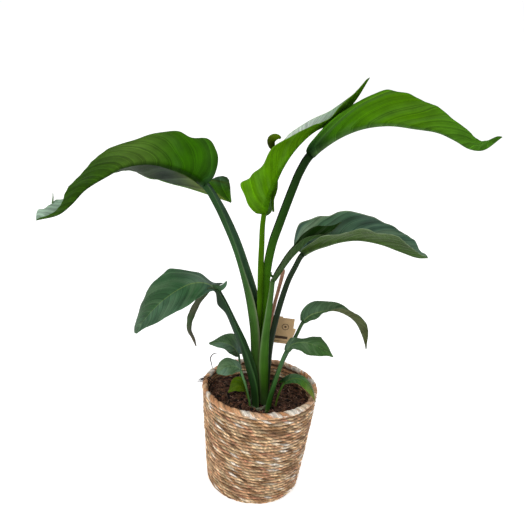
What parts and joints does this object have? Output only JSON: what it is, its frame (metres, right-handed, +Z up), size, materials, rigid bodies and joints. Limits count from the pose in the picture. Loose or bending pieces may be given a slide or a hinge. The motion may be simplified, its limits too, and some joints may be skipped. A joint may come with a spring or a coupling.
{
  "type": "potted bird of paradise",
  "caption": "Young white bird of paradise with large paddle leaves on long channelled stalks, a small care card on a stick, in a coiled seagrass basket.",
  "frame": {"origin": "centre of the basket's underside, on the floor", "axes": "+Z up; the leaves fan out to the left (-X) and the right (+X); -Y is the front, seen in the picture"},
  "size_m": [0.7007, 0.1994, 0.7227],
  "materials": {
    "seagrass": "matte",
    "liner_film": "satin",
    "soil": "matte",
    "stick_wood": "matte",
    "kraft_card": "matte",
    "leaf_bright": "satin",
    "leaf_lime": "satin",
    "leaf_dark": "satin"
  },
  "bodies": {
    "root": {"basket": "seagrass", "liner": "liner_film", "soil": "soil", "stick": "stick_wood", "care_card": "kraft_card", "leaf_upper_left": "leaf_bright", "leaf_centre": "leaf_lime", "leaf_upper_right": "leaf_bright", "leaf_mid_right": "leaf_dark", "leaf_strap_right": "leaf_bright", "leaf_mid_left": "leaf_dark", "leaf_low_right": "leaf_dark", "leaf_low_right_front": "leaf_dark", "leaf_rim_right": "leaf_dark", "leaf_low_left_back": "leaf_dark", "leaf_low_left_front": "leaf_dark", "leaf_low_left_small": "leaf_lime"}
  },
  "joints": []
}
